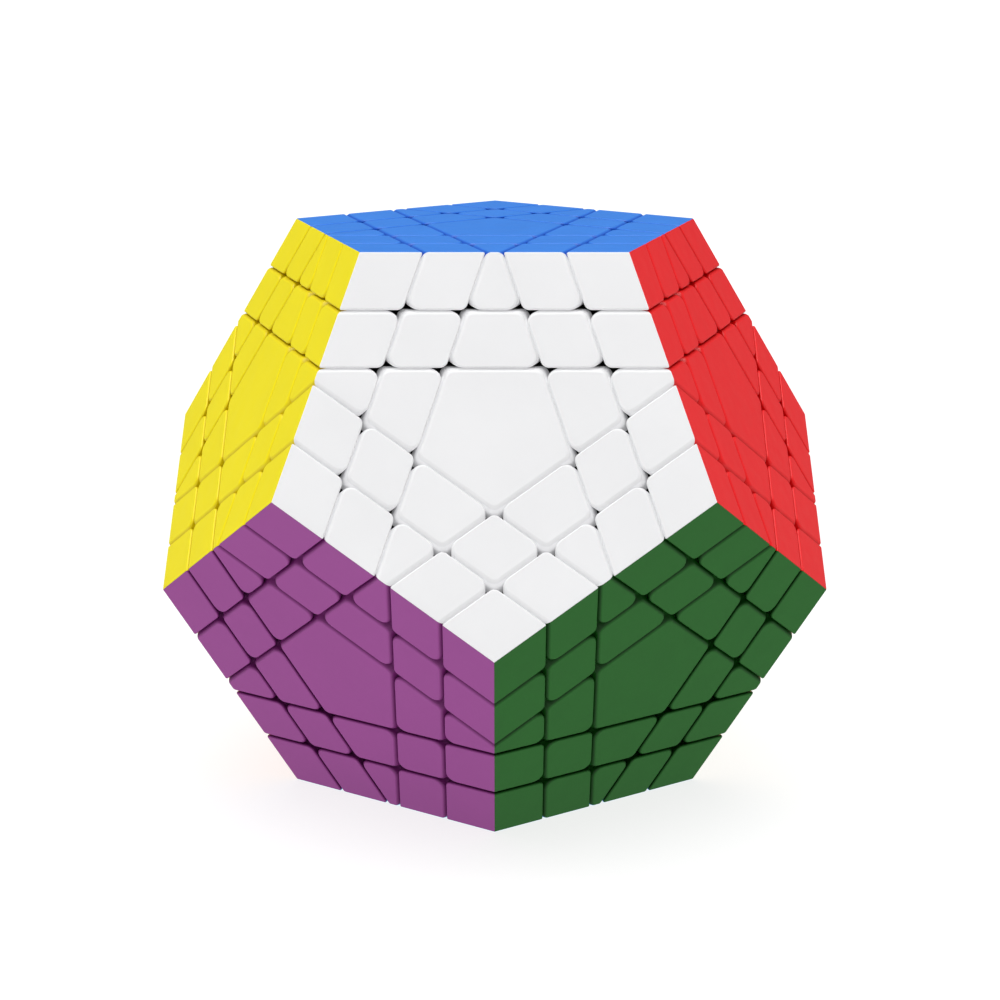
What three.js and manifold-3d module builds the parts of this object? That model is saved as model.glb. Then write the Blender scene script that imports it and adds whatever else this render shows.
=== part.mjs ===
// Five-layer dodecahedron twisty puzzle, in millimetres, standing on its light blue face.
//
// Twelve pentagonal faces, each with two turning layers, are cut from a regular dodecahedron by
// planes parallel to the faces. A core ball carries twelve posts. On each post a screw and a spring
// hold a centre piece, whose rim holds down the pieces around it. Every visible piece is named by
// the faces that it shows and the layers that it lies in.
//
// The blue face is taken apart to its single pieces. The three faces with turning layers here
// (blue, purple and cream) share no piece, so their six layers turn independently. The pieces that
// are not singled out are joined below their grooves into layers and face blocks.
import * as THREE from "three";
import { ConvexGeometry } from "three/addons/geometries/ConvexGeometry.js";
import { mergeVertices } from "three/addons/utils/BufferGeometryUtils.js";
import Module from "manifold-3d";

const wasm = await Module();
wasm.setup();

// ---- Driving dimensions ----
const EDGE = 48; // length of each of the dodecahedron's 30 edges
const OUTER_ROW = 11.6; // from a face to its first cut, measured along an edge
const SECOND_ROW = 11.15; // from there to its second cut
const GAP = 0.3; // clearance between neighbouring pieces
const GROOVE = 1.6; // depth of the grooves between pieces that are joined
const WEB_INSET = 0.2; // how far the sides of a web stay behind those of the pieces that it joins
const ROOM_EXTRA = 0.1; // extra clearance around a centre piece in its layer or block
const LAP_STEP = 1.8; // how far a foot reaches under its neighbour's rim
const PLATE = 2.5; // plate of a second layer, which turns around the centre's stem
const CORE_RADIUS = 16; // core ball
const POST_RADIUS = 4.5; // arm of the core that carries one centre piece
const SEAT = 32; // distance from the core's middle to the foot of a centre piece
const SEAT_WALL = 2; // floor of a centre piece's spring pocket
const STEM_RADIUS = 5.6; // tube of a centre piece, around its spring
const HUB_RADIUS = 11; // round hub under a centre piece's rim
const POCKET_RADIUS = 3.9; // spring pocket in a centre piece
const POCKET_TOP = 46.5; // blind end of that pocket where the cap isn't separate
const CAP_THICKNESS = 3.4; // separate cap of the blue centre
const CAP_PLUG = 1.5; // plug of that cap, which snaps into the pocket
const SHANK_RADIUS = 1.3; // screw
const SHANK_START = 20; // distance from the core's middle to the screw's tip
const HEAD_START = 40; // the same to the underside of the screw's head
const HEAD_RADIUS = 3.4;
const HEAD_HEIGHT = 2.4;
const SOCKET_RADIUS = 1.5; // hexagonal drive in the screw's head
const SOCKET_DEPTH = 1.4;
const WIRE_RADIUS = 0.45; // coil spring
const COIL_RADIUS = 2.6;
const COIL_TURNS = 3;
const TURNED_SIDES = 24; // facets of the round parts that show one piece each
const JOINED_SIDES = 12; // facets of the round parts that repeat inside the core
const WELD = 0.004; // distance under which two corners of a finished solid are one

// ---- Values that follow from them ----
const GOLDEN = (1 + Math.sqrt(5)) / 2;
const FACE_TILT = Math.acos(1 / Math.sqrt(5)); // between the normals of two neighbouring faces
const INRADIUS = (EDGE * GOLDEN ** 2) / (2 * Math.sqrt(3 - GOLDEN)); // core's middle to a face
const EDGE_SLOPE = Math.sin((2 * Math.PI) / 5) * Math.sin(FACE_TILT); // depth gained along an edge
const OUTER_CUT = INRADIUS - OUTER_ROW * EDGE_SLOPE; // between a face's outer and second layer
const SECOND_CUT = OUTER_CUT - SECOND_ROW * EDGE_SLOPE; // between the second layer and the rest
const HALF_GAP = GAP / 2;
const LAP = (OUTER_CUT + INRADIUS) / 2; // height of the step between a rim and a foot
const CAP_SEAT = INRADIUS - CAP_THICKNESS;

// ---- Faces ----
const COLOURS = {
  blue: 0x2f6fd6,
  white: 0xf0f0f2,
  red: 0xe0252b,
  pink: 0xf08fb4,
  light_green: 0x8fd14a,
  yellow: 0xf4e01c,
  purple: 0x93468f,
  green: 0x2b6130,
  cream: 0xf3e7bd,
  grey: 0x8d9196,
  orange: 0xf07f1e,
  light_blue: 0x6fc4e8,
};
const UPPER_RING = ["white", "red", "pink", "light_green", "yellow"]; // from the front, anticlockwise
const LOWER_RING = ["green", "cream", "grey", "orange", "purple"];

function faceNormal(azimuthDegrees, polar) {
  const azimuth = THREE.MathUtils.degToRad(azimuthDegrees);
  const level = Math.sin(polar);
  return new THREE.Vector3(level * Math.cos(azimuth), level * Math.sin(azimuth), Math.cos(polar));
}

const faces = [
  { name: "blue", normal: new THREE.Vector3(0, 0, 1) },
  ...UPPER_RING.map((name, i) => ({ name, normal: faceNormal(-90 + 72 * i, FACE_TILT) })),
  ...LOWER_RING.map((name, i) => ({ name, normal: faceNormal(-54 + 72 * i, Math.PI - FACE_TILT) })),
  { name: "light_blue", normal: new THREE.Vector3(0, 0, -1) },
];
const faceNamed = (name) => faces.find((face) => face.name === name);
const touches = (a, b) => a !== b && a.normal.dot(b.normal) > 0.4;
const neighbours = (face) => faces.filter((other) => touches(face, other));
const TURNING = ["blue", "purple", "cream"].map(faceNamed);
const FIXED = faces.filter((face) => !TURNING.includes(face));

// ---- Pieces: the faces whose outer layer, and the faces whose second layer, each one lies in ----
const comesFirst = (a, b) => faces.indexOf(a) < faces.indexOf(b);

function listPieces() {
  const found = [];
  const add = (kind, outer, second) => found.push({ kind, outer, second });
  for (const a of faces) {
    for (const b of neighbours(a)) {
      add("t_centre", [a], [b]);
      if (comesFirst(a, b)) add("mid_edge", [a, b], []);
      for (const c of neighbours(a).filter((face) => touches(face, b))) {
        if (comesFirst(b, c)) add("x_centre", [a], [b, c]);
        if (comesFirst(a, b)) add("wing", [a, b], [c]);
        if (comesFirst(a, b) && comesFirst(b, c)) add("corner", [a, b, c], []);
      }
    }
  }
  return found;
}
const pieces = listPieces();
const names = (list) => list.map((face) => face.name).join("_");
const pieceName = ({ kind, outer, second }) =>
  [kind, names(outer), ...(second.length ? ["by", names(second)] : [])].join("_");

// ---- Solids ----
// A half-space holds every point whose distance along the normal is at most the given one.
const below = (face, distance) => ({ normal: face.normal, distance });
const above = (face, distance) => ({ normal: face.normal.clone().negate(), distance: -distance });

function toSolid(geometry) {
  geometry.deleteAttribute("normal");
  geometry.deleteAttribute("uv");
  const merged = mergeVertices(geometry, 1e-4);
  return new wasm.Manifold(
    new wasm.Mesh({
      numProp: 3,
      vertProperties: merged.attributes.position.array,
      triVerts: new Uint32Array(merged.index.array),
    }),
  );
}

// Corners closer than the tolerance become one, and the triangles that this closes up are left out.
function toGeometry(solid) {
  const mesh = solid.getMesh();
  const geometry = new THREE.BufferGeometry()
    .setAttribute("position", new THREE.BufferAttribute(mesh.vertProperties, 3))
    .setIndex(new THREE.BufferAttribute(mesh.triVerts, 1));
  const merged = mergeVertices(geometry, WELD);
  const corners = [...merged.index.array];
  const isOpen = (a, b, c) => a !== b && b !== c && c !== a;
  const kept = [];
  for (let i = 0; i < corners.length; i += 3)
    if (isOpen(...corners.slice(i, i + 3))) kept.push(...corners.slice(i, i + 3));
  return merged.setIndex(kept);
}

const union = (solids) => solids.reduce((sum, solid) => sum.add(solid));

// The point where three planes meet, or null if they don't meet in one.
function meetingPoint(a, b, c) {
  const bc = new THREE.Vector3().crossVectors(b.normal, c.normal);
  const ca = new THREE.Vector3().crossVectors(c.normal, a.normal);
  const ab = new THREE.Vector3().crossVectors(a.normal, b.normal);
  const determinant = a.normal.dot(bc);
  if (Math.abs(determinant) < 1e-6) return null;
  return bc
    .multiplyScalar(a.distance)
    .addScaledVector(ca, b.distance)
    .addScaledVector(ab, c.distance)
    .divideScalar(determinant);
}

// The convex solid that the half-spaces share.
function convex(spaces) {
  const points = [];
  spaces.forEach((a, i) =>
    spaces.slice(i + 1).forEach((b, j) =>
      spaces.slice(i + j + 2).forEach((c) => {
        const point = meetingPoint(a, b, c);
        const inside = point && spaces.every((s) => s.normal.dot(point) <= s.distance + 1e-6);
        if (inside && points.every((p) => p.distanceTo(point) > 1e-4)) points.push(point);
      }),
    ),
  );
  return toSolid(new ConvexGeometry(points));
}

// Turns a solid made along +Z so that it points out of a face.
function aimed(geometry, face) {
  const turn = new THREE.Quaternion().setFromUnitVectors(new THREE.Vector3(0, 0, 1), face.normal);
  return toSolid(geometry.applyQuaternion(turn));
}

// A cylinder along a face's axis, between two distances from the core's middle.
function rod(face, radius, from, to, sides) {
  const geometry = new THREE.CylinderGeometry(radius, radius, to - from, sides);
  return aimed(geometry.rotateX(Math.PI / 2).translate(0, 0, (from + to) / 2), face);
}

// A round solid along a face's axis from its profile of [radius, distance] points.
function turned(face, profile, sides) {
  const points = profile.map(([radius, distance]) => new THREE.Vector2(radius, distance));
  return aimed(new THREE.LatheGeometry(points, sides).rotateX(Math.PI / 2), face);
}

// ---- Blocks of the visible pieces ----
// One convex block of a piece. The cuts of the other faces are moved towards the middle of the own
// face by lowStep where they bound the block from inside, and by highStep where from outside.
function block(piece, own, from, to, lowStep = 0, highStep = 0) {
  const spaces = faces.flatMap((face) => {
    if (face === own) return [above(face, from), below(face, to)];
    if (piece.outer.includes(face))
      return [above(face, OUTER_CUT - lowStep + HALF_GAP), below(face, INRADIUS)];
    if (piece.second.includes(face))
      return [
        above(face, SECOND_CUT - lowStep + HALF_GAP),
        below(face, OUTER_CUT - highStep - HALF_GAP),
      ];
    return [below(face, SECOND_CUT - highStep - HALF_GAP)];
  });
  return convex(spaces);
}

// A piece that is joined to others by a web, which reaches lower than the piece.
const joinedPiece = (piece, own) => block(piece, own, OUTER_CUT + HALF_GAP + WEB_INSET, INRADIUS);

// A single piece of a face's outer layer: its lower half is set towards the middle of the face, so
// that it is a foot under the inner neighbour's rim and makes room for the outer neighbour's foot.
function lappedPiece(piece, own) {
  return union([
    block(piece, own, LAP + HALF_GAP, INRADIUS),
    block(piece, own, LAP - GAP, LAP + GAP, 0, LAP_STEP),
    block(piece, own, OUTER_CUT + HALF_GAP, LAP - HALF_GAP, LAP_STEP, LAP_STEP),
  ]);
}

// A slab of the dodecahedron behind its grooves, which joins the pieces of a layer or block.
function web(limits, reach = INRADIUS - GROOVE) {
  return convex([...faces.map((face) => below(face, reach)), ...limits]);
}

// The room that a centre piece takes in the outer layer of its face.
function centreRoom(face) {
  const rim = convex([
    above(face, LAP - HALF_GAP),
    below(face, INRADIUS + 1),
    ...neighbours(face).map((other) => below(other, SECOND_CUT + HALF_GAP + ROOM_EXTRA)),
  ]);
  return rim.add(rod(face, HUB_RADIUS + GAP, OUTER_CUT - 1, LAP, TURNED_SIDES));
}

// ---- Parts on the axis of a face ----
const rimPlate = (face, from, to) =>
  convex([
    above(face, from),
    below(face, to),
    ...neighbours(face).map((other) => below(other, SECOND_CUT - HALF_GAP)),
  ]);

// Hub and stem of a centre piece with the spring pocket, whose blind end is at pocketTop.
function stem(face, pocketTop, sides) {
  const profile = [
    [0, pocketTop],
    [POCKET_RADIUS, pocketTop],
    [POCKET_RADIUS, SEAT + SEAT_WALL],
    [SHANK_RADIUS + GAP, SEAT + SEAT_WALL],
    [SHANK_RADIUS + GAP, SEAT],
    [STEM_RADIUS, SEAT],
    [STEM_RADIUS, OUTER_CUT + HALF_GAP],
    [HUB_RADIUS, OUTER_CUT + HALF_GAP],
    [HUB_RADIUS, LAP + 1],
    [0, LAP + 1],
  ];
  return turned(face, profile, sides);
}

// Centre piece in one: rim, hub and stem.
const centrePiece = (face) =>
  rimPlate(face, LAP + HALF_GAP, INRADIUS).add(stem(face, POCKET_TOP, JOINED_SIDES));

// The same with a separate cap over the screw.
function centreBase(face) {
  const whole = rimPlate(face, LAP + HALF_GAP, CAP_SEAT).add(stem(face, POCKET_TOP, TURNED_SIDES));
  return whole.subtract(rod(face, POCKET_RADIUS, POCKET_TOP - 1, INRADIUS, TURNED_SIDES));
}
function centreCap(face) {
  const plug = rod(face, POCKET_RADIUS - GAP, CAP_SEAT - CAP_PLUG, CAP_SEAT + 1, TURNED_SIDES);
  return rimPlate(face, CAP_SEAT + GAP, INRADIUS).add(plug);
}

function screw(face, sides) {
  const shank = rod(face, SHANK_RADIUS, SHANK_START, HEAD_START + 1, sides);
  return shank.add(rod(face, HEAD_RADIUS, HEAD_START, HEAD_START + HEAD_HEIGHT, sides));
}
function screwWithSocket(face) {
  const top = HEAD_START + HEAD_HEIGHT;
  return screw(face, TURNED_SIDES).subtract(rod(face, SOCKET_RADIUS, top - SOCKET_DEPTH, top + 1, 6));
}

class Helix extends THREE.Curve {
  constructor(radius, from, to, turns) {
    super();
    Object.assign(this, { radius, from, to, turns });
  }
  getPoint(t, target = new THREE.Vector3()) {
    const angle = 2 * Math.PI * this.turns * t;
    const height = this.from + (this.to - this.from) * t;
    return target.set(this.radius * Math.cos(angle), this.radius * Math.sin(angle), height);
  }
}

// A coil spring round a screw, between two distances from the core's middle.
function spring(face, from, to, halfSides, stepsPerTurn) {
  const section = new THREE.Shape();
  section.absarc(0, 0, WIRE_RADIUS, 0, 2 * Math.PI);
  const geometry = new THREE.ExtrudeGeometry(section, {
    extrudePath: new Helix(COIL_RADIUS, from + WIRE_RADIUS, to - WIRE_RADIUS, COIL_TURNS),
    steps: COIL_TURNS * stepsPerTurn,
    curveSegments: halfSides,
  });
  return aimed(geometry, face);
}

// Core ball with its posts. The blue post is bored for its own screw. The other screws, with their
// springs, are joined to their posts.
function core() {
  const ball = toSolid(new THREE.IcosahedronGeometry(CORE_RADIUS, 2));
  const posts = faces.map((face) => rod(face, POST_RADIUS, CORE_RADIUS / 2, SEAT - GAP, JOINED_SIDES));
  const joined = faces
    .filter((face) => face.name !== "blue")
    .flatMap((face) => [
      screw(face, JOINED_SIDES),
      spring(face, SEAT + SEAT_WALL + GAP, HEAD_START + WIRE_RADIUS / 2, 2, 6),
    ]);
  const bore = rod(faceNamed("blue"), SHANK_RADIUS + GAP, SHANK_START - 1, SEAT + 1, TURNED_SIDES);
  return union([ball, ...posts, ...joined]).subtract(bore);
}

// ---- Joined layers and blocks ----
const isIn = (piece, face) => piece.outer.includes(face) || piece.second.includes(face);

// The 30 pieces of a turning face's outer layer, around its centre piece.
function outerLayer(face) {
  const members = pieces.filter((piece) => piece.outer.includes(face));
  const plate = web([above(face, OUTER_CUT + HALF_GAP)]);
  return union([plate, ...members.map((piece) => joinedPiece(piece, face))]).subtract(centreRoom(face));
}

// The 20 pieces of a face's second layer, on a thin plate that turns around the centre's stem.
function secondLayer(face) {
  const members = pieces.filter((piece) => piece.second.includes(face));
  const band = web([
    above(face, SECOND_CUT + HALF_GAP + WEB_INSET),
    below(face, OUTER_CUT - HALF_GAP - WEB_INSET),
  ]);
  const hollow = convex([
    below(face, OUTER_CUT - PLATE),
    ...faces.filter((other) => other !== face).map((other) => below(other, OUTER_CUT)),
  ]);
  const bore = rod(face, STEM_RADIUS + GAP, SECOND_CUT - 1, OUTER_CUT + 1, TURNED_SIDES);
  const joined = members.map((piece) => joinedPiece(piece, piece.outer[0]));
  return union([band, ...joined]).subtract(hollow).subtract(bore);
}

// What is left of a fixed face: its pieces that lie in no turning layer. A piece on an edge between
// two fixed faces goes with the first of them.
function faceBlock(face) {
  const first = FIXED.slice(0, FIXED.indexOf(face));
  const members = pieces.filter(
    (piece) =>
      piece.outer.includes(face) &&
      !TURNING.some((other) => isIn(piece, other)) &&
      !first.some((other) => piece.outer.includes(other)),
  );
  const shell = web([
    above(face, OUTER_CUT + HALF_GAP),
    ...TURNING.map((other) => below(other, SECOND_CUT - HALF_GAP - WEB_INSET)),
    ...first.map((other) => below(other, OUTER_CUT - HALF_GAP - WEB_INSET)),
  ]);
  return union([shell, ...members.map((piece) => joinedPiece(piece, face))]).subtract(centreRoom(face));
}

// ---- Assembly ----
const puzzle = new THREE.Group();
puzzle.position.z = INRADIUS; // the core's middle stands this far above the resting face

const plastic = Object.fromEntries(
  faces.map(({ name }) => [
    name,
    new THREE.MeshStandardMaterial({ color: COLOURS[name], roughness: 0.45, metalness: 0 }),
  ]),
);
const blackPlastic = new THREE.MeshStandardMaterial({ color: 0x1c1c1e, roughness: 0.5, metalness: 0 });
const steel = new THREE.MeshStandardMaterial({ color: 0xb9bcc0, roughness: 0.3, metalness: 1 });

function addNode(name, solid, material) {
  const mesh = new THREE.Mesh(toGeometry(solid), material);
  mesh.name = name;
  puzzle.add(mesh);
}

addNode("core_ball", core(), blackPlastic);

const blue = faceNamed("blue");
addNode("screw_blue", screwWithSocket(blue), steel);
addNode("spring_blue", spring(blue, SEAT + SEAT_WALL + GAP, HEAD_START - GAP, 4, 12), steel);
addNode("centre_base_blue", centreBase(blue), plastic.blue);
addNode("centre_cap_blue", centreCap(blue), plastic.blue);
for (const piece of pieces.filter((item) => item.outer.includes(blue)))
  addNode(pieceName(piece), lappedPiece(piece, blue), plastic.blue);

for (const face of faces.filter((item) => item !== blue))
  addNode(`centre_${face.name}`, centrePiece(face), plastic[face.name]);
for (const face of TURNING.filter((item) => item !== blue))
  addNode(`outer_layer_${face.name}`, outerLayer(face), plastic[face.name]);
for (const face of TURNING) addNode(`second_layer_${face.name}`, secondLayer(face), plastic[face.name]);
for (const face of FIXED) addNode(`face_block_${face.name}`, faceBlock(face), plastic[face.name]);

export default puzzle;
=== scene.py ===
"""Looks of the five-layer dodecahedron puzzle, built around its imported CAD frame.

Every visible piece is made here as an object of its own, from the same cut planes as the CAD model:
a convex block between planes parallel to the faces, with rounded corners and softened rims. Each
kind of piece is modelled once and then set in all its places. Lengths are in metres.
"""

import itertools
import math

import bmesh
import bpy
from mathutils import Matrix, Vector


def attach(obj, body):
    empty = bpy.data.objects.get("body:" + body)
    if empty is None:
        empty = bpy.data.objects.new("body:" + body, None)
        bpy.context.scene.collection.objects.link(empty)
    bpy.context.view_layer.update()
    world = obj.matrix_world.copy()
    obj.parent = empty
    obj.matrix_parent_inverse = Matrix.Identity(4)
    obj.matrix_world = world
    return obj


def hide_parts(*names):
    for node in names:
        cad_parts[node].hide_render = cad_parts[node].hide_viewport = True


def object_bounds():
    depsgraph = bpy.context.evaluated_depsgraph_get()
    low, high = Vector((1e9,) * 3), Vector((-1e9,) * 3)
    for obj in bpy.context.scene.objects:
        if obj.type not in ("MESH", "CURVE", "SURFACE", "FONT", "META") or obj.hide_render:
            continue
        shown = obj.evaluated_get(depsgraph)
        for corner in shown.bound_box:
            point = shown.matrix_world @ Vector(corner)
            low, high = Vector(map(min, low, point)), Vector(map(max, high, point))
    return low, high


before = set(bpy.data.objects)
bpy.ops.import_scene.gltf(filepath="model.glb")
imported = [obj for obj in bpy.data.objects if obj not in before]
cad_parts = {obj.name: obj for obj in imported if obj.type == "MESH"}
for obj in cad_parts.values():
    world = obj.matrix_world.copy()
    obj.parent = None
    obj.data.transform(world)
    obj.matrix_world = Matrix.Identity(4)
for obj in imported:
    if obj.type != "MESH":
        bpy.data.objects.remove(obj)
cad_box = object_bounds()

MM = 0.001

# ---- Shape: the same driving dimensions as the CAD model ----
INRADIUS = (cad_box[1].z - cad_box[0].z) / 2  # the puzzle stands on one of its faces
MIDDLE = Vector((0, 0, INRADIUS))
FACE_TILT = math.acos(1 / math.sqrt(5))  # between the normals of two neighbouring faces
SAME_ANGLE = 0.01  # tolerance when two angles are compared
SAME_POINT = 1e-7  # tolerance when two places are compared
TOUCHING = 1e-8  # tolerance when a point is on the limit of a half-space
SAME_DIRECTION = 0.9999  # least dot product of two unit normals that point the same way
SINGULAR = 1e-6  # determinant under which three planes share no single point
OUTER_ROW = 11.6 * MM  # from a face to its first cut, measured along an edge
SECOND_ROW = 11.15 * MM  # from there to its second cut
EDGE_SLOPE = math.sin(math.radians(72)) * math.sin(FACE_TILT)  # depth gained along an edge
OUTER_CUT = INRADIUS - OUTER_ROW * EDGE_SLOPE
SECOND_CUT = OUTER_CUT - SECOND_ROW * EDGE_SLOPE
HALF_GAP = 0.13 * MM  # half of the joint between two pieces

# ---- Shape: finish of the moulded pieces ----
CORNER_RADIUS = 1.6 * MM  # upright corners where four pieces meet
CORNER_STEPS = 6
RIM = 0.5 * MM  # softened rim around each tile
RIM_PROFILE = 0.38  # between a flat chamfer, 0.25, and a round one, 0.5
EDGE_SHARE = 0.5  # the dodecahedron's own edges are that much crisper
RIM_STEPS = 4
SKIN = 3.2 * MM  # below this depth a piece is the dark plastic of its mechanism
TOP_WEIGHT = 80  # how far the shading normals of a rim lean to the flat top beside it

# ---- Painted light: bands of painted shade and painted glow on a tile's rim and walls, by depth under its top ----
PAINTED_SHADE_LEVEL = 0.85  # brightness of the painted shade colour in its band on the rims
PAINTED_SHADE_POWER = 1.4  # power that deepens the painted shade colour
PAINTED_SHADE_DEPTHS = [depth * MM for depth in (0.02, 0.26, 1.0, 1.6)]  # depths of the painted shade band: starts, is full, fades, ends
PAINTED_JOINT_LIGHT = 0.2  # strength of the painted glow, an emission that lights the joints of the white tiles
# depths of the painted glow band: starts, is full, fades, ends
JOINT_LIGHT_DEPTHS = [depth * MM for depth in (0.35, 0.9, 1.25, 2.1)]

# ---- Faces ----
UPPER_RING = ["white", "red", "pink", "light_green", "yellow"]
LOWER_RING = ["green", "cream", "grey", "orange", "purple"]


def face_normal(azimuth, polar):
    level = math.sin(polar)
    return Vector((level * math.cos(azimuth), level * math.sin(azimuth), math.cos(polar)))


NORMALS = {"blue": Vector((0, 0, 1))}
for i, name in enumerate(UPPER_RING):
    NORMALS[name] = face_normal(math.radians(-90 + 72 * i), FACE_TILT)
for i, name in enumerate(LOWER_RING):
    NORMALS[name] = face_normal(math.radians(-54 + 72 * i), math.pi - FACE_TILT)
NORMALS["light_blue"] = Vector((0, 0, -1))
FACES = list(NORMALS)
TURNING = ["blue", "purple", "cream"]
FIXED = [face for face in FACES if face not in TURNING]


def touches(a, b):
    return abs(NORMALS[a].angle(NORMALS[b]) - FACE_TILT) < SAME_ANGLE


def neighbours(face):
    return [other for other in FACES if touches(face, other)]


# ---- Materials ----
NOISE_LOW, NOISE_HIGH = 0.3, 0.7  # most of a noise texture's values lie between these


def principled(name, **values):
    """A material with a Principled BSDF: the material, its node tree and the shader."""
    material = bpy.data.materials.new(name)
    material.use_nodes = True
    shader = material.node_tree.nodes["Principled BSDF"]
    for socket, value in values.items():
        shader.inputs[socket.replace("_", " ")].default_value = value
    return material, material.node_tree, shader


def add_node(tree, kind, links=None, **values):
    node = tree.nodes.new(kind)
    for socket, value in values.items():
        node.inputs[socket.replace("_", " ")].default_value = value
    for socket, source in (links or {}).items():
        tree.links.new(source, node.inputs[socket])
    return node


def add_noise(tree, scale, detail):
    """Noise that is fixed to the piece."""
    place = tree.nodes.new("ShaderNodeTexCoord").outputs["Object"]
    noise = add_node(tree, "ShaderNodeTexNoise", {"Vector": place}, Scale=scale, Detail=detail)
    return noise.outputs["Fac"]


def add_range(tree, source, low, high):
    """The noise source, mapped to low..high."""
    node = add_node(
        tree, "ShaderNodeMapRange", {"Value": source},
        From_Min=NOISE_LOW, From_Max=NOISE_HIGH, To_Min=low, To_Max=high,
    )
    return node.outputs["Result"]


def add_mix(tree, factor, first, second):
    """A colour between first and second. Each is a colour or a socket."""
    mix = tree.nodes.new("ShaderNodeMix")
    mix.data_type = "RGBA"
    tree.links.new(factor, mix.inputs["Factor"])
    for socket, colour in (("A", first), ("B", second)):
        if isinstance(colour, bpy.types.NodeSocket):
            tree.links.new(colour, mix.inputs[socket])
        else:
            mix.inputs[socket].default_value = (*colour, 1)
    return mix.outputs["Result"]


def add_bump(tree, shader, height, strength, distance):
    bump = add_node(tree, "ShaderNodeBump", {"Height": height}, Strength=strength, Distance=distance)
    tree.links.new(bump.outputs["Normal"], shader.inputs["Normal"])


def moulded_plastic(name, colour, roughness=0.4):
    """Through-coloured ABS: faint flow marks, a satin gloss, and the fine grain of the mould."""
    material, tree, shader = principled(name, Specular_IOR_Level=0.35)
    darker, lighter = [[c * level for c in colour] for level in (0.965, 1.035)]
    flow_marks = add_noise(tree, scale=60.0, detail=3.0)
    tree.links.new(add_mix(tree, flow_marks, darker, lighter), shader.inputs["Base Color"])
    blotches = add_noise(tree, scale=220.0, detail=4.0)
    gloss = add_range(tree, blotches, roughness - 0.05, roughness + 0.06)
    tree.links.new(gloss, shader.inputs["Roughness"])
    mould_grain = add_noise(tree, scale=5200.0, detail=2.0)
    add_bump(tree, shader, mould_grain, strength=0.12, distance=0.02 * MM)
    return material


def brushed_steel(name):
    """Bright spring and screw steel with fine drawing marks."""
    material, tree, shader = principled(name, Base_Color=(0.56, 0.56, 0.55, 1), Metallic=1.0)
    marks = add_noise(tree, scale=3000.0, detail=3.0)
    tree.links.new(add_range(tree, marks, 0.24, 0.42), shader.inputs["Roughness"])
    add_bump(tree, shader, marks, strength=0.1, distance=0.01 * MM)
    return material


def add_fade(tree, face, start, end, low, high):
    """low down to the depth start under a face, and high from the depth end on."""
    top = INRADIUS + NORMALS[face].dot(MIDDLE)
    place = tree.nodes.new("ShaderNodeTexCoord").outputs["Object"]
    height = add_node(tree, "ShaderNodeVectorMath", {0: place})
    height.operation = "DOT_PRODUCT"
    height.inputs[1].default_value = NORMALS[face]
    fade = add_node(
        tree, "ShaderNodeMapRange", {"Value": height.outputs["Value"]},
        From_Min=top - start, From_Max=top - end, To_Min=low, To_Max=high,
    )
    return fade.outputs["Result"]


def add_band(tree, face, depths, level):
    """level in a band of depths under a face, and 0 outside it."""
    starts, full, fades, ends = depths
    band = add_node(tree, "ShaderNodeMath", {
        0: add_fade(tree, face, starts, full, 0.0, level),
        1: add_fade(tree, face, fades, ends, 1.0, 0.0),
    })
    band.operation = "MULTIPLY"
    return band.outputs["Value"]


def paint_shade_on_rims(face):
    """Painted shade: a deeper colour in a band on the rims and upper walls, where a tile turns down into
    the joint and shadow falls.
    """
    tree = PLASTIC[face].node_tree
    base = tree.nodes["Principled BSDF"].inputs["Base Color"]
    band = add_band(tree, face, PAINTED_SHADE_DEPTHS, level=1.0)
    # the painted shade colour: a darker, more saturated copy of the tile's colour
    painted_shade_colour = [PAINTED_SHADE_LEVEL * c**PAINTED_SHADE_POWER for c in COLOURS[face]]
    tree.links.new(add_mix(tree, band, base.links[0].from_socket, painted_shade_colour), base)


def paint_glow_in_joints(face):
    """Painted light: the upper part of a tile's walls glows, so that its joints look lit."""
    tree = PLASTIC[face].node_tree
    shader = tree.nodes["Principled BSDF"]
    shader.inputs["Emission Color"].default_value = (*COLOURS[face], 1)
    # painted glow: emission in a band of depths on the walls
    tree.links.new(add_band(tree, face, JOINT_LIGHT_DEPTHS, level=PAINTED_JOINT_LIGHT), shader.inputs["Emission Strength"])


COLOURS = {  # linear red, green and blue
    "blue": (0.038, 0.235, 0.80),
    "white": (0.885, 0.885, 0.895),
    "red": (0.93, 0.02, 0.024),
    "pink": (0.83, 0.30, 0.46),
    "light_green": (0.27, 0.62, 0.07),
    "yellow": (0.97, 0.83, 0.002),
    "purple": (0.335, 0.068, 0.30),
    "green": (0.018, 0.138, 0.018),
    "cream": (0.88, 0.78, 0.50),
    "grey": (0.27, 0.29, 0.31),
    "orange": (0.85, 0.22, 0.012),
    "light_blue": (0.16, 0.52, 0.80),
}
PLASTIC = {face: moulded_plastic(f"{face}_plastic", colour) for face, colour in COLOURS.items()}
MECHANISM = moulded_plastic("mechanism_plastic", (0.012, 0.012, 0.013), roughness=0.5)
STEEL = brushed_steel("brushed_steel")
# painted glow in the joints of the white tiles
paint_glow_in_joints("white")
# painted shade on the rims of all the other colours
for face in COLOURS:
    if face != "white":
        paint_shade_on_rims(face)


# ---- Solids ----
def above(face, distance):
    """The half-space outside a face's cut, as the normal out of it and its distance from the middle."""
    return (-NORMALS[face], -distance)


def below(face, distance):
    """The half-space inside a face's cut."""
    return (NORMALS[face], distance)


def meeting_point(planes):
    """Where three planes meet, or None if they share no single point."""
    rows = Matrix([normal for normal, _ in planes])
    if abs(rows.determinant()) < SINGULAR:
        return None
    return rows.inverted() @ Vector([distance for _, distance in planes])


def polygon(points, normal):
    """The points of one plane, in order around its normal."""
    centre = sum(points, Vector()) / len(points)
    across = (points[0] - centre).normalized()
    along = normal.cross(across)
    return sorted(points, key=lambda p: math.atan2((p - centre).dot(along), (p - centre).dot(across)))


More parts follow.
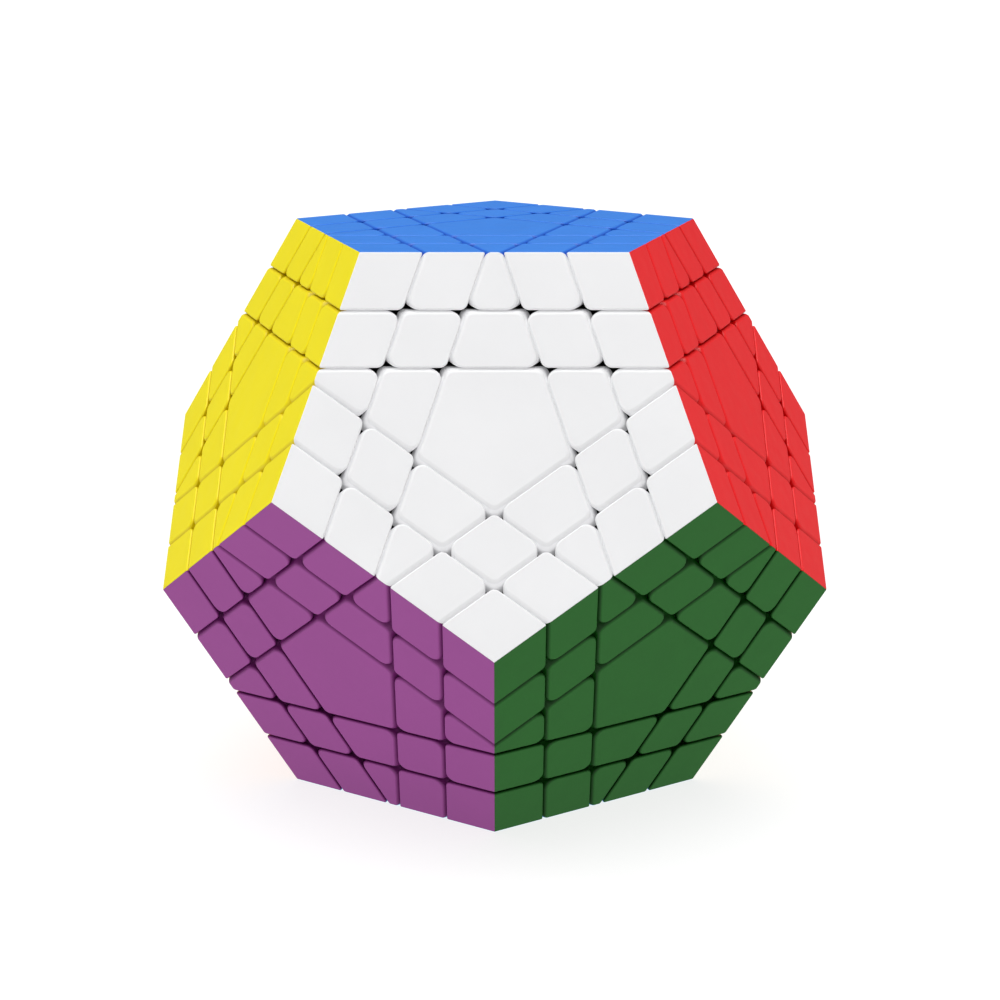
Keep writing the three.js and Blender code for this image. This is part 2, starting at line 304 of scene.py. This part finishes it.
def convex(bm, planes):
    """Adds to bm the convex solid that the half-spaces share.

    A face's material index is its plane's number.
    """
    corners = []
    for three in itertools.combinations(planes, 3):
        point = meeting_point(three)
        if point is None or any(normal.dot(point) > distance + TOUCHING for normal, distance in planes):
            continue
        if all((point - corner.co).length > SAME_POINT for corner in corners):
            corners.append(bm.verts.new(point))
    for number, (normal, distance) in enumerate(planes):
        on_plane = {tuple(v.co): v for v in corners if abs(normal.dot(v.co) - distance) < SAME_POINT}
        if len(on_plane) > 2:
            ring = polygon([v.co for v in on_plane.values()], normal)
            bm.faces.new([on_plane[tuple(p)] for p in ring]).material_index = number
    bm.normal_update()


# ---- Kinds of pieces, each modelled once ----
CANON = ("blue", "white", "red")  # three meeting faces, between which each kind is modelled
# Of three meeting faces: those whose outer layer holds the piece, and those whose second layer holds it.
KINDS = {
    "centre": ((0,), ()),
    "t_centre": ((0,), (1,)),
    "x_centre": ((0,), (1, 2)),
    "mid_edge": ((0, 1), ()),
    "wing": ((0, 1), (2,)),
    "corner": ((0, 1, 2), ()),
}


def piece_planes(outer, second):
    """Half-spaces of a piece: first those of its tops, then its cuts."""
    tops = [below(face, INRADIUS) for face in outer]
    cuts = [above(face, OUTER_CUT + HALF_GAP) for face in outer]
    for face in second:
        cuts += [above(face, SECOND_CUT + HALF_GAP), below(face, OUTER_CUT - HALF_GAP)]
    cuts += [below(face, SECOND_CUT - HALF_GAP) for face in FACES if face not in outer + second]
    return tops, cuts


def round_upright_corners(bm, top_count):
    """Fillets the edges between two cuts that reach a top."""
    groups = {}
    for edge in bm.edges:
        sides = [face.material_index for face in edge.link_faces]
        reaches_top = any(face.material_index < top_count for v in edge.verts for face in v.link_faces)
        if min(sides) < top_count or not reaches_top:
            continue
        inner_angle = math.pi - edge.calc_face_angle()
        groups.setdefault(round(inner_angle, 3), []).append(edge)
    for inner_angle, edges in groups.items():
        live = [edge for edge in edges if edge.is_valid]
        bmesh.ops.bevel(
            bm,
            geom=live + list({v for edge in live for v in edge.verts}),
            offset=CORNER_RADIUS / math.tan(inner_angle / 2),
            offset_type="OFFSET",
            segments=CORNER_STEPS,
            profile=0.5,
            affect="EDGES",
            clamp_overlap=True,
        )


def mark_rims(bm, outer):
    """Bevel weights: full for the rim between a top and a cut, less for the edge between two tops."""
    weight = bm.edges.layers.float.new("bevel_weight_edge")
    for edge in bm.edges:
        normals = [side.normal for side in edge.link_faces]
        tops = [n for n in normals if any(n.dot(NORMALS[face]) > SAME_DIRECTION for face in outer)]
        edge[weight] = (0, 1, EDGE_SHARE)[len(tops)] if len(normals) == 2 else 0


def bevel_rims(mesh):
    """mesh with its weighted edges bevelled by the modifier, as a new bmesh."""
    shape = bpy.data.objects.new("template", mesh)
    bpy.context.scene.collection.objects.link(shape)
    bevel = shape.modifiers.new("rims", "BEVEL")
    bevel.limit_method = "WEIGHT"
    bevel.width = RIM
    bevel.segments = RIM_STEPS
    bevel.profile = RIM_PROFILE
    bevel.use_clamp_overlap = False
    finished = bmesh.new()
    finished.from_object(shape, bpy.context.evaluated_depsgraph_get())
    bpy.data.objects.remove(shape)
    return finished


def cut_through(bm, normal, distance):
    """Adds edges where the plane of points p with normal.dot(p) == distance passes."""
    bmesh.ops.bisect_plane(
        bm,
        geom=[*bm.verts, *bm.edges, *bm.faces],
        dist=SAME_POINT,
        plane_co=normal * (distance / normal.length_squared),
        plane_no=normal,
    )


def paint(bm, outer):
    """Splits the surface where its colour changes, and numbers its material slots.

    There is a slot for each top's colour, and a last one for the dark plastic.
    """
    for a, b in itertools.combinations(outer, 2):
        cut_through(bm, NORMALS[a] - NORMALS[b], 0)
    for face in outer:
        cut_through(bm, NORMALS[face], INRADIUS - SKIN)
    for polygon_face in bm.faces:
        middle = polygon_face.calc_center_median()
        heights = [NORMALS[face].dot(middle) for face in outer]
        deep = max(heights) < INRADIUS - SKIN
        polygon_face.material_index = len(outer) if deep else heights.index(max(heights))


def make_template(kind):
    """The mesh of a kind of piece, where it sits between the faces of CANON, around the puzzle's middle."""
    outer = [CANON[i] for i in KINDS[kind][0]]
    second = [CANON[i] for i in KINDS[kind][1]]
    tops, cuts = piece_planes(outer, second)
    bm = bmesh.new()
    convex(bm, tops + cuts)
    round_upright_corners(bm, len(tops))
    bm.normal_update()
    mark_rims(bm, outer)
    mesh = bpy.data.meshes.new(f"{kind}_template")
    bm.to_mesh(mesh)
    finished = bevel_rims(mesh)
    paint(finished, outer)
    for polygon_face in finished.faces:
        polygon_face.smooth = True
    finished.normal_update()
    finished.to_mesh(mesh)
    finished.free()
    bm.free()
    return mesh


# ---- Pieces in their places ----
def listed_pieces():
    """(kind, three meeting faces) of every visible piece, as the CAD model names them."""
    for a in FACES:
        around = neighbours(a)
        yield "centre", (a, around[0], next(c for c in around if touches(c, around[0])))
        for b in around:
            sides = [c for c in around if touches(b, c)]
            yield "t_centre", (a, b, sides[0])
            if FACES.index(a) < FACES.index(b):
                yield "mid_edge", (a, b, sides[0])
            for c in sides:
                if FACES.index(b) < FACES.index(c):
                    yield "x_centre", (a, b, c)
                if FACES.index(a) < FACES.index(b):
                    yield "wing", (a, b, c)
                if FACES.index(a) < FACES.index(b) < FACES.index(c):
                    yield "corner", (a, b, c)


def piece_body(outer, second):
    """The body that carries a piece: the turning layer it is in, or else the core."""
    for face in TURNING:
        if face in outer:
            return f"{face}_outer_layer"
    for face in TURNING:
        if face in second:
            return f"{face}_second_layer"
    return "core"


def piece_name(kind, outer, second):
    return "_".join([kind, *outer, *(["by", *second] if second else [])])


def cad_node_of(kind, outer, second, name):
    """The CAD node that holds this piece's solid."""
    if kind == "centre":
        return "centre_cap_blue" if outer[0] == "blue" else name
    if "blue" in outer:
        return name
    for face in TURNING:
        if face in outer:
            return f"outer_layer_{face}"
    for face in TURNING:
        if face in second:
            return f"second_layer_{face}"
    return f"face_block_{next(face for face in FIXED if face in outer)}"


def make_piece(kind, triple, template):
    """A copy of the template, carried from the faces of CANON to the three faces of triple."""
    outer = [triple[i] for i in KINDS[kind][0]]
    second = [triple[i] for i in KINDS[kind][1]]
    name = piece_name(kind, outer, second)
    here = Matrix([NORMALS[face] for face in CANON]).transposed()
    there = Matrix([NORMALS[face] for face in triple]).transposed()
    turn = there @ here.inverted()
    mesh = template.copy()
    mesh.name = name
    mesh.transform(Matrix.Translation(MIDDLE) @ turn.to_4x4())
    if turn.determinant() < 0:
        mesh.flip_normals()
    for face in outer:
        mesh.materials.append(PLASTIC[face])
    mesh.materials.append(MECHANISM)
    # A piece that replaces the CAD node of its own name needs another name.
    piece = bpy.data.objects.new(f"{name}_tile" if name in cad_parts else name, mesh)
    bpy.context.scene.collection.objects.link(piece)
    piece.modifiers.new("flat_tops", "WEIGHTED_NORMAL").weight = TOP_WEIGHT
    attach(piece, piece_body(outer, second))
    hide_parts(cad_node_of(kind, outer, second, name))
    return piece


TEMPLATES = {kind: make_template(kind) for kind in KINDS}
PIECES = [make_piece(kind, triple, TEMPLATES[kind]) for kind, triple in listed_pieces()]
assert len(PIECES) == 242, len(PIECES)


# ---- The CAD's own nodes that stay ----
KEPT = {
    "core_ball": MECHANISM,
    "screw_blue": STEEL,
    "spring_blue": STEEL,
    "centre_base_blue": PLASTIC["blue"],
}
for node, material in KEPT.items():
    for slot in bpy.data.objects[node].material_slots:
        slot.material = material


# ---- Stage ----
WORLD_LIGHT = 0.44  # diffuse light from all round
GLOSS_ABOVE, GLOSS_BELOW = 0.1, 0.25  # how bright the studio looks in reflections
HORIZON = 0.15  # half the height over which the one turns into the other
FLOOR_SIZE = 12.0
FLOOR_DROP = 0.05 * MM  # keeps the floor clear of the face the puzzle rests on
FLOOR_PAINT, FLOOR_SHINE = 0.28, 0.8  # its share of reflected light, and the light it gives off itself
VIEW_DISTANCE = 0.4904  # of the eye from the puzzle's middle
VIEW_ASIDE = 0.99 * MM
VIEW_ELEVATION, VIEW_DIP, VIEW_ANGLE = [math.radians(angle) for angle in (13.89, 0.023, 22.576)]


def sun(name, direction, strength, spread, glint):
    """A soft light from a direction.

    Spread is its angular size in degrees, and glint its share in reflections.
    """
    light = bpy.data.lights.new(name, "SUN")
    light.energy = strength
    light.angle = math.radians(spread)
    light.specular_factor = glint
    lamp = bpy.data.objects.new(name, light)
    lamp.rotation_euler = Vector(direction).to_track_quat("Z", "Y").to_euler()
    bpy.context.scene.collection.objects.link(lamp)


def make_world():
    """White to the eye and to diffuse light, and dimmer in reflections, as between studio flags."""
    world = bpy.data.worlds.new("studio")
    world.use_nodes = True
    tree = world.node_tree
    path = tree.nodes.new("ShaderNodeLightPath")
    place = tree.nodes.new("ShaderNodeTexCoord").outputs["Generated"]
    height = add_node(tree, "ShaderNodeSeparateXYZ", {"Vector": place}).outputs["Z"]
    gloss = add_node(
        tree, "ShaderNodeMapRange", {"Value": height},
        From_Min=-HORIZON, From_Max=HORIZON, To_Min=GLOSS_BELOW, To_Max=GLOSS_ABOVE,
    ).outputs["Result"]
    level = add_node(
        tree, "ShaderNodeMapRange", {"Value": path.outputs["Is Glossy Ray"], "To Max": gloss},
        To_Min=WORLD_LIGHT,
    )
    strength = tree.nodes.new("ShaderNodeMix")
    tree.links.new(path.outputs["Is Camera Ray"], strength.inputs["Factor"])
    tree.links.new(level.outputs["Result"], strength.inputs["A"])
    strength.inputs["B"].default_value = 1.0
    tree.links.new(strength.outputs["Result"], tree.nodes["Background"].inputs["Strength"])
    tree.nodes["Background"].inputs["Color"].default_value = (1, 1, 1, 1)
    bpy.context.scene.world = world


def make_floor():
    """A plain white floor that shines a little, so the shadow on it stays faint."""
    half = FLOOR_SIZE / 2
    corners = [(-half, -half, 0), (half, -half, 0), (half, half, 0), (-half, half, 0)]
    mesh = bpy.data.meshes.new("floor")
    mesh.from_pydata(corners, [], [(0, 1, 2, 3)])
    pale, _, _ = principled(
        "pale_floor",
        Base_Color=(*[FLOOR_PAINT] * 3, 1),
        Roughness=0.9,
        Specular_IOR_Level=0.0,
        Emission_Color=(1, 1, 1, 1),
        Emission_Strength=FLOOR_SHINE,
    )
    mesh.materials.append(pale)
    floor = bpy.data.objects.new("floor", mesh)
    floor.location.z = -FLOOR_DROP
    floor.visible_glossy = False
    bpy.context.scene.collection.objects.link(floor)


def make_camera():
    """Looks at the white face from a little above, with the blue face on top."""
    camera = bpy.data.cameras.new("camera")
    camera.angle = VIEW_ANGLE
    camera.clip_start = 0.01
    eye = bpy.data.objects.new("camera", camera)
    back, up = VIEW_DISTANCE * math.cos(VIEW_ELEVATION), VIEW_DISTANCE * math.sin(VIEW_ELEVATION)
    eye.location = MIDDLE + Vector((VIEW_ASIDE, -back, up))
    eye.rotation_euler = (math.pi / 2 - VIEW_ELEVATION - VIEW_DIP, 0, 0)
    bpy.context.scene.collection.objects.link(eye)
    bpy.context.scene.camera = eye


make_world()
make_floor()
sun("overhead", (-0.06, 0.05, 1.0), strength=2.5, spread=60, glint=0.2)
sun("front", (0.0, -1.0, 0.15), strength=0.2, spread=50, glint=0.0)
make_camera()
bpy.context.scene.view_settings.view_transform = "Standard"
